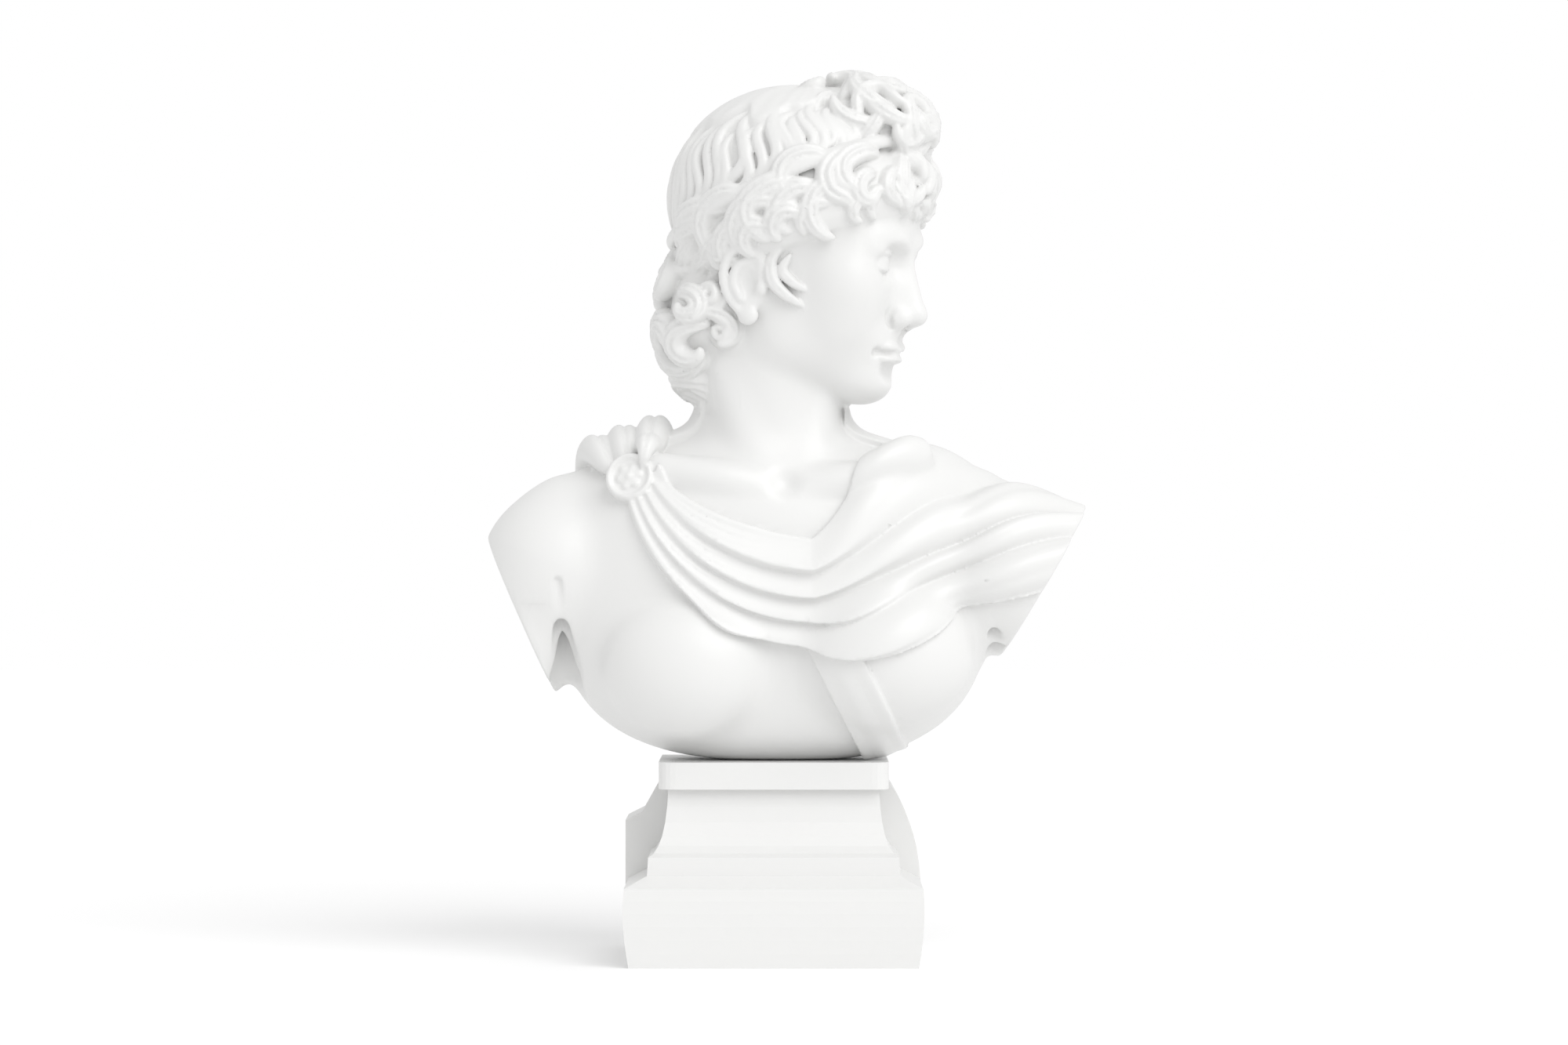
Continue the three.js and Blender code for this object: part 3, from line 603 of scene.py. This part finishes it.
def crossing(plane, azimuth):  # the latitude where a sloping plane crosses the scalp
    length, height = scalp["size"][0], scalp["size"][2]
    swing = length * plane["rise"] * np.cos(azimuth)
    lift = plane["level"] + plane["rise"] * scalp["at"][0] - scalp["at"][2]
    return np.arcsin(lift / np.hypot(height, swing)) + np.arctan2(swing, height)


def droppedTo(azimuth, drop):  # -1 at the crown, 0 at the band and 1 at the hairline
    bandAt, hairAt = crossing(bandPlane, azimuth), crossing(hairPlane, azimuth)
    return np.where(np.asarray(drop) < 0, mix(bandAt, math.pi / 2, -np.asarray(drop)), mix(bandAt, hairAt, drop))


def outOf(mass, path):
    return unit((path - np.array(mass["at"])) / np.array(mass["size"]) ** 2)


cap = {"around": 320, "rings": [(-1, 1.4), (-0.75, 2.4), (-0.52, 2.9), (-0.47, 0.8), (-0.05, 0.2), (0.05, 0.6),
                                (0.3, 2.6), (0.8, 2.8), (1.0, 1.2), (1.15, -2), (1.8, -12)]}


def makeCap(clay):  # a skin of hair over the skull, with faint strands on the crown
    drops, stands = np.array(cap["rings"]).T
    drop = np.linspace(-1, 1.8, 160)
    azimuth = np.linspace(-math.pi, math.pi, cap["around"], endpoint=False)
    d, a = np.meshgrid(drop, azimuth, indexing="ij")
    comb = 0.3 * ridge(a * 17 / math.pi + 0.5 * np.sin(5 * d + 3 * a)) * np.clip((d + 0.95) * 3, 0, 1)
    ledge = 0.05 * np.sin(7 * a + 1) + 0.04 * np.sin(13 * a)
    stand = np.interp(d - ledge * (d < -0.2), drops, stands) + comb * (d < -0.3)
    points = onScalp(a, droppedTo(a, d), stand)
    points[0], points[-1] = points[0].mean(axis=0), points[-1].mean(axis=0)
    addMesh(clay, points, tubeFaces(*points.shape[:2]), 1.0, place=headPlace)


waves = {"count": 66, "top": -0.52, "foot": 0.0, "width": 2.3, "height": 2.4, "sway": 3.1, "gap": 24, "stand": 0.9}


def makeWaves(clay, random):  # strands combed down from the crown's edge to the band, leaving the brow free
    for i in range(waves["count"]):
        azimuth = 2 * math.pi * (i + 0.5) / waves["count"] - math.pi
        if abs(azimuth) < math.radians(waves["gap"]):
            continue
        t = np.linspace(0, 1, 30)
        top = waves["top"] + random.uniform(-0.05, 0.12)
        phase = random.uniform(-0.6, 0.6)
        sway = waves["sway"] * random.uniform(0.7, 1.25) / 38
        swing = sway * np.sin(2 * math.pi * t * 1.15 + phase) * np.sign(azimuth)
        path = onScalp(azimuth + swing, droppedTo(azimuth, mix(top, waves["foot"], t)),
                       waves["stand"] + 0.5 * np.sin(np.pi * t))
        width = waves["width"] * random.uniform(0.8, 1.25)
        addLock(clay, path, outOf(scalp, path), width, waves["height"] * random.uniform(0.85, 1.1), strands=2,
                groove=0.2, blend=0.5, place=headPlace)


band = {"width": 2.5, "height": 2.2, "stand": 3.3}


def makeBand(clay):
    azimuth = np.linspace(-math.pi, math.pi, 240, endpoint=False)
    path = onScalp(azimuth, crossing(bandPlane, azimuth), band["stand"])
    following, before = np.roll(path, -1, axis=0), np.roll(path, 1, axis=0)
    tangent = unit(following - before)
    up = outOf(scalp, path)
    up = unit(up - (up * tangent).sum(-1, keepdims=True) * tangent)
    aside = np.cross(tangent, up)
    turn = np.linspace(0, 2 * np.pi, 20, endpoint=False)
    points = (path[:, None] + aside[:, None] * (np.cos(turn)[None, :, None] * band["width"])
              + up[:, None] * (np.sin(turn)[None, :, None] * band["height"]))
    points = np.concatenate([points, points[:1]])
    addMesh(clay, points, tubeFaces(*points.shape[:2]), 0.6, place=headPlace)


def walk(mass, start, heading, length, bends, stand, count=40):
    # A path over a rounded mass. Heading 0 is backwards round the figure's left and -90 is down,
    # and it turns by so many degrees in each stretch.
    centre, size = Vector(mass["at"]), Vector(mass["size"])
    out = Vector(start)
    p = Vector([a * b for a, b in zip(out, size)])
    step = length / (count - 1)
    tangent = None
    path = []
    for i in range(count):
        p = Vector([a * b for a, b in zip(size, Vector([a / b for a, b in zip(p, size)]).normalized())])
        normal = Vector([a / b ** 2 for a, b in zip(p, size)]).normalized()
        if tangent is None:
            back = Vector((0, 0, 1)).cross(normal).normalized()
            up = normal.cross(back)
            tangent = back * math.cos(math.radians(heading)) + up * math.sin(math.radians(heading))
        tangent = (tangent - normal * tangent.dot(normal)).normalized()
        t = i / (count - 1)
        path.append(centre + p + normal * float(np.interp(t, np.linspace(0, 1, len(stand)), stand)))
        stretch = min(int(t * len(bends)), len(bends) - 1)
        turn = math.radians(bends[stretch]) * len(bends) / (count - 1)
        tangent = Quaternion(normal, turn) @ tangent
        p = p + tangent * step
    return np.array([list(v) for v in path])


def addWalk(clay, mass, path, width, height, strands, side=1, blend=0.5, fullness=0.5):
    out = outOf(mass, path) * np.array([1, side, 1])
    path = path * np.array([1, side, 1])
    addLock(clay, path, out, width, height, strands=strands, groove=0.5, fullness=fullness, blend=blend,
            place=headPlace)


def scalpStart(azimuth, drop):  # a place on the scalp as a direction from its centre, for walk
    azimuth = math.radians(azimuth)
    latitude = float(droppedTo(azimuth, drop))
    level = math.cos(latitude)
    return (level * math.cos(azimuth), level * math.sin(azimuth), math.sin(latitude))


# By azimuth in degrees from the face: heading, length, bends in four stretches, half width
sideLocks = [
    (14, -30, 22, (-20, -30, -50, -60), 3.4),
    (34, -4, 32, (-10, -50, -70, -60), 3.9),
    (60, 4, 46, (-10, -50, -60, -50), 4.3),
    (84, -8, 46, (0, -50, -70, -60), 4.4),
    (112, -36, 36, (20, -10, -70, -90), 4.2),
    (172, -90, 38, (-30, 20, 50, 90), 4.0),
]
sideRows = {"drops": (0.16, 0.4, 0.66), "lengths": (1, 0.8, 0.52), "from": 13, "to": 176, "count": 12, "height": 4.2}


besideEar = [  # the strands that fall in front of the ear, with their half widths
    ([(4, 32.4, 9), (-0.5, 33.2, 2), (0.5, 33, -5), (5, 31.2, -9.5), (11.5, 28, -13)], 2.4),
    ([(6, 32, 5), (3.5, 32.2, -1), (7, 30.6, -5), (12.5, 28, -7.5)], 2.0),
]


def makeSideLocks(clay, random):
    azimuths = [row[0] for row in sideLocks]
    for side in (-1, 1):
        for row, drop in enumerate(sideRows["drops"]):
            for i in range(sideRows["count"]):
                t = (i + 0.5 * (row % 2)) / (sideRows["count"] - 0.5)
                azimuth = mix(sideRows["from"], sideRows["to"], t) + random.uniform(-3, 3)
                heading, length, width = [np.interp(azimuth, azimuths, [entry[k] for entry in sideLocks])
                                          for k in (1, 2, 4)]
                bends = [np.interp(azimuth, azimuths, [entry[3][k] for entry in sideLocks]) * random.uniform(0.6, 1.3)
                         for k in range(4)]
                if random.uniform(0, 1) < 0.35:
                    bends[3] *= -0.8  # the tip flicks the other way
                length *= random.uniform(0.8, 1.15) * sideRows["lengths"][row]
                top = random.uniform(2.4, 4.0) - 0.4 * row
                path = walk(scalp, scalpStart(azimuth, drop), heading + random.uniform(-20, 20), length, bends,
                            (0.6, top, top, top - 0.3, top + 0.4))
                addWalk(clay, scalp, path, width * random.uniform(0.9, 1.25) * (1 - 0.1 * row),
                        sideRows["height"], 3, side)
        for points, width in besideEar:
            path = smoothCurve([[x, side * y, z] for x, y, z in points], 40)
            addLock(clay, path, unit(path * np.array([0.2, 1, 0])), width, 2.4, strands=2, groove=0.4,
                    place=headPlace)


# Masses of curls: locks wander over a rounded form from starts spread as seeds lie on a flower head
knot = {"at": (13, 0, 53), "size": (24, 17, 13), "count": 56, "length": (14, 26), "width": 3.0, "height": 3.9,
        "turn": (60, 220), "facing": (0.4, 0, 0.95), "spread": 1.2, "stand": (0.2, 2.4, 4.2)}
fringe = {"at": (27, 0, 34), "size": (12, 19, 11), "count": 28, "length": (14, 24), "width": 3.0, "height": 3.8,
          "turn": (100, 260), "facing": (1, 0, 0), "spread": 1.0, "stand": (0.2, 2.4, 3.6)}
nape = {"at": (-27, 0, -19), "size": (18, 31, 28), "count": 52, "length": (20, 32), "width": 4.0, "height": 4.6,
        "turn": (160, 340), "facing": (-1, 0, -0.2), "spread": 1.35, "stand": (0.4, 3.0, 5.0)}


def makeCurls(clay, mass, random):
    shape(clay, [ball(mass["at"], mass["size"], 3)], headPlace)
    turn = Vector((0, 0, 1)).rotation_difference(Vector(mass["facing"]))
    for i in range(mass["count"]):
        height = 1 - mass["spread"] * (i + 0.5) / mass["count"]
        angle = math.radians(i * 137.5)
        level = math.sqrt(max(0, 1 - height * height))
        start = turn @ Vector((level * math.cos(angle), level * math.sin(angle), height))
        length = random.uniform(*mass["length"])
        total = random.uniform(*mass["turn"]) * random.choice((-1, 1))
        bends = [total * share for share in (0.1, 0.2, 0.3, 0.4)]
        path = walk(mass, start, random.uniform(0, 360), length, bends, mass["stand"])
        addWalk(clay, mass, path, mass["width"] * random.uniform(0.8, 1.2), mass["height"], 3)


def curlPath(centre, out, radius, spin, start, turns=1.6, rise=0.55, count=60):
    across = Vector((0.3, 1, 0.2)) - Vector(out) * Vector((0.3, 1, 0.2)).dot(Vector(out))
    across.normalize()
    up = np.array(Vector(out).cross(across))
    across = np.array(across)
    t = np.linspace(0, 1, count)
    angle = start + spin * turns * 2 * np.pi * t
    r = radius * (0.82 - 0.72 * t ** 0.85)
    lift = radius * rise * t ** 1.3
    return (np.array(centre) + np.array(out) * lift[:, None] + across * (r * np.cos(angle))[:, None]
            + up * (r * np.sin(angle))[:, None])


def addCurl(clay, centre, out, radius, spin=1, start=0.0, turns=1.6, strands=2):
    out = np.array(Vector(out).normalized())
    path = curlPath(centre, out, radius, spin, start, turns)
    outs = np.broadcast_to(out, path.shape)
    addLock(clay, path, outs, radius * 0.23, radius * 0.4, strands=strands, groove=0.3, fullness=0.3, blend=0.3,
            place=headPlace)
    shape(clay, [ball(np.array(centre) - out * radius * 0.6, [radius * 0.8] * 3, 1)], headPlace)


ringlets = [(-19, 31, 1, 7.6), (-21, 31, -13, 7.8), (-17, 27, -25, 7.2)]  # place behind the ear, and radius


def makeHair(clay):
    random = np.random.RandomState(7)
    makeCap(clay)
    makeWaves(clay, random)
    makeBand(clay)
    makeSideLocks(clay, random)
    makeCurls(clay, nape, random)
    makeCurls(clay, fringe, random)
    makeCurls(clay, knot, random)
    for side in (-1, 1):
        for x, y, z, radius in ringlets:
            addCurl(clay, (x, side * y, z), (-0.25, side, -0.05), radius, side, 1.0 + z * 0.1, 1.9)
    print("hair dressed", round(time.time() - began, 1))


# The bust: clay to mesh, thinned where it is smooth

resinBust = {"triangles": 192000, "wobble": 0.00016}


def clayToPiece(clay, name):
    limit = 3 * clay["step"]
    grid = openvdb.FloatGrid(limit)
    grid.transform = openvdb.createLinearTransform(voxelSize=clay["step"])
    grid.copyFromArray(np.clip(clay["field"], -limit, limit), ijk=tuple(int(v) for v in clay["first"]))
    points, quads = grid.convertToQuads(0.0)
    points = (points + np.array([0, 0, setDown])) / 1000
    mesh = bpy.data.meshes.new(name)
    mesh.vertices.add(len(points))
    mesh.vertices.foreach_set("co", points.astype(np.float32).ravel())
    mesh.loops.add(quads.size)
    mesh.loops.foreach_set("vertex_index", quads[:, ::-1].astype(np.int32).ravel())
    mesh.polygons.add(len(quads))
    mesh.polygons.foreach_set("loop_start", np.arange(0, quads.size, 4, dtype=np.int32))
    mesh.update(calc_edges=True)
    piece = bpy.data.objects.new(name, mesh)
    bpy.context.collection.objects.link(piece)
    return piece


def alone(piece):
    bpy.ops.object.select_all(action="DESELECT")
    piece.select_set(True)
    bpy.context.view_layer.objects.active = piece


def applied(piece, kind, **settings):
    alone(piece)
    modifier = piece.modifiers.new(kind.title(), kind)
    for name, value in settings.items():
        setattr(modifier, name, value)
    bpy.ops.object.modifier_apply(modifier=modifier.name)


def keepLargest(piece):  # loose crumbs inside the joined forms are dropped
    alone(piece)
    bpy.ops.object.mode_set(mode="EDIT")
    bpy.ops.mesh.select_all(action="SELECT")
    bpy.ops.mesh.separate(type="LOOSE")
    bpy.ops.object.mode_set(mode="OBJECT")
    parts = sorted(bpy.context.selected_objects, key=lambda part: len(part.data.vertices))
    for part in parts[:-1]:
        bpy.data.objects.remove(part)
    return parts[-1]


def makeBust():
    clay = newClay()
    makeBody(clay)
    makeMantle(clay)
    headClay = newClay((-50, -52, 190), (70, 52, 321))
    makeFace(headClay)
    makeHair(headClay)
    joinClay(clay, headClay, 3)
    shape(clay, [half(*cut) for cut in armCuts], dig=True)
    flat = half([0, 0, seat], [0, 0, -1])
    shape(clay, [dict(flat, blend=0.3)], dig=True)
    piece = clayToPiece(clay, "resinBust")
    piece = keepLargest(piece)
    piece.name = piece.data.name = "resinBust"
    count = sum(len(p.vertices) - 2 for p in piece.data.polygons)
    applied(piece, "DECIMATE", ratio=min(1.0, resinBust["triangles"] / count))
    alone(piece)
    bpy.ops.object.shade_smooth()
    print("bust meshed:", count, "triangles thinned to", len(piece.data.polygons))
    return piece


# Camera, light and floor

view = {"lens": 100, "sensor": 36, "place": (0.0036, -1.546, 0.1542)}


def makeCamera():
    bpy.ops.object.camera_add(location=view["place"], rotation=(math.pi / 2, 0, 0))
    camera = bpy.context.object
    camera.data.lens = view["lens"]
    camera.data.sensor_width = view["sensor"]
    bpy.context.scene.camera = camera


studio = {"world": 0.85, "sun": (0.6, -0.75, 0.75), "sunPower": 1.3, "sunSpread": 50}


def makeStage():
    bpy.ops.mesh.primitive_plane_add(size=6, location=(0, 0, 0))
    floor = bpy.context.object
    floor.name = "floor"
    floorPaint = bpy.data.materials.new("palePaper")
    floorPaint.use_nodes = True
    shader = floorPaint.node_tree.nodes["Principled BSDF"]
    shader.inputs["Base Color"].default_value = (0.95, 0.95, 0.95, 1)
    shader.inputs["Roughness"].default_value = 0.9
    floor.data.materials.append(floorPaint)
    world = bpy.data.worlds.new("studio")
    bpy.context.scene.world = world
    world.use_nodes = True
    nodes, links = world.node_tree.nodes, world.node_tree.links
    seen = nodes["Background"]
    seen.inputs["Color"].default_value = (1, 1, 1, 1)
    lit = nodes.new("ShaderNodeBackground")
    lit.inputs["Color"].default_value = (1, 1, 1, 1)
    lit.inputs["Strength"].default_value = studio["world"]
    path = nodes.new("ShaderNodeLightPath")
    either = nodes.new("ShaderNodeMixShader")
    links.new(path.outputs["Is Camera Ray"], either.inputs["Fac"])
    links.new(lit.outputs[0], either.inputs[1])
    links.new(seen.outputs[0], either.inputs[2])
    links.new(either.outputs[0], nodes["World Output"].inputs["Surface"])
    bpy.ops.object.light_add(type="SUN", rotation=Vector(studio["sun"]).to_track_quat("Z", "Y").to_euler())
    sun = bpy.context.object
    sun.data.energy = studio["sunPower"]
    sun.data.angle = math.radians(studio["sunSpread"])
    bpy.context.scene.view_settings.view_transform = "Standard"


def makeResin(name):
    paint = bpy.data.materials.new(name)
    paint.use_nodes = True
    shader = paint.node_tree.nodes["Principled BSDF"]
    shader.inputs["Base Color"].default_value = (0.75, 0.75, 0.742, 1)
    shader.inputs["Roughness"].default_value = 0.38
    return paint


makeCamera()
makeStage()
bust = makeBust()
bust.data.materials.append(makeResin("bustResin"))
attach(bust, "root")
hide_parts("bust")
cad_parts["plinth"].data.materials.clear()
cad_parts["plinth"].data.materials.append(makeResin("plinthResin"))
